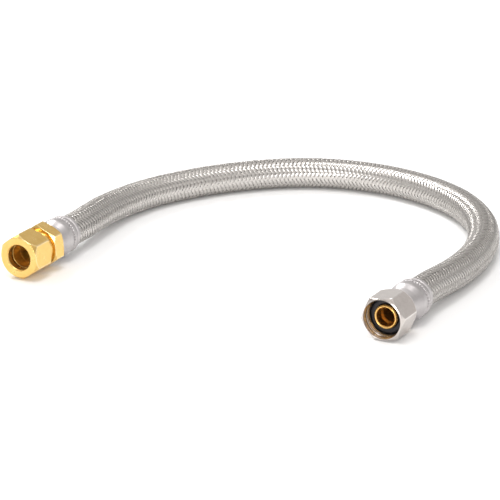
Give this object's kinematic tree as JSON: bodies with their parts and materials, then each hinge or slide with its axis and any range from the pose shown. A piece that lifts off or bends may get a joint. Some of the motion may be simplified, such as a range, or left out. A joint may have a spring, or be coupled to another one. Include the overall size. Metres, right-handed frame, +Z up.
{
  "type": "braided supply line",
  "caption": "Flexible braided water supply line, hex compression fitting on one end and female swivel nut with cone washer on the other.",
  "frame": {"origin": "on the resting surface, under the middle of the box round the two end fittings", "axes": "+Z up; both fittings point along -Y, the compression end at -X and the swivel end at +X; the hose bends round through +Y"},
  "size_m": [0.1706, 0.1707, 0.0182],
  "materials": {
    "machined_brass": "turned and milled, bright",
    "nickel_plated_brass": "nickel plated, satin bright",
    "pressed_stainless": "pressed and crimped, satin",
    "braided_stainless": "woven fine wire, bright",
    "black_rubber": "moulded, matt"
  },
  "bodies": {
    "line": {"compression_body": "machined_brass", "crimp_ferrule_a": "pressed_stainless", "outer_braid": "braided_stainless", "inner_tube": "black_rubber", "crimp_ferrule_b": "pressed_stainless", "swivel_nipple": "machined_brass", "cone_washer": "black_rubber"},
    "sleeve": {"compression_sleeve": "machined_brass"},
    "nut": {"compression_nut": "machined_brass"},
    "swivel": {"swivel_nut": "nickel_plated_brass"}
  },
  "joints": [
    {"name": "nut_travel", "type": "slide", "parent": "line", "child": "sleeve", "axis": [0, -1, 0], "range_m": [0, 0.00317]},
    {"name": "nut_turn", "type": "hinge", "parent": "sleeve", "child": "nut", "pos_m": [-0.0766, -0.0175, 0.00911], "axis": [0, -1, 0], "range_deg": [0, 1080]},
    {"name": "swivel_turn", "type": "hinge", "parent": "line", "child": "swivel", "pos_m": [0.0756, -0.0129, 0.0085], "axis": [0, -1, 0], "continuous": true}
  ],
  "couplings": [
    {"joint": "nut_turn", "follows": "nut_travel", "rad_per_m": 5936.9}
  ]
}
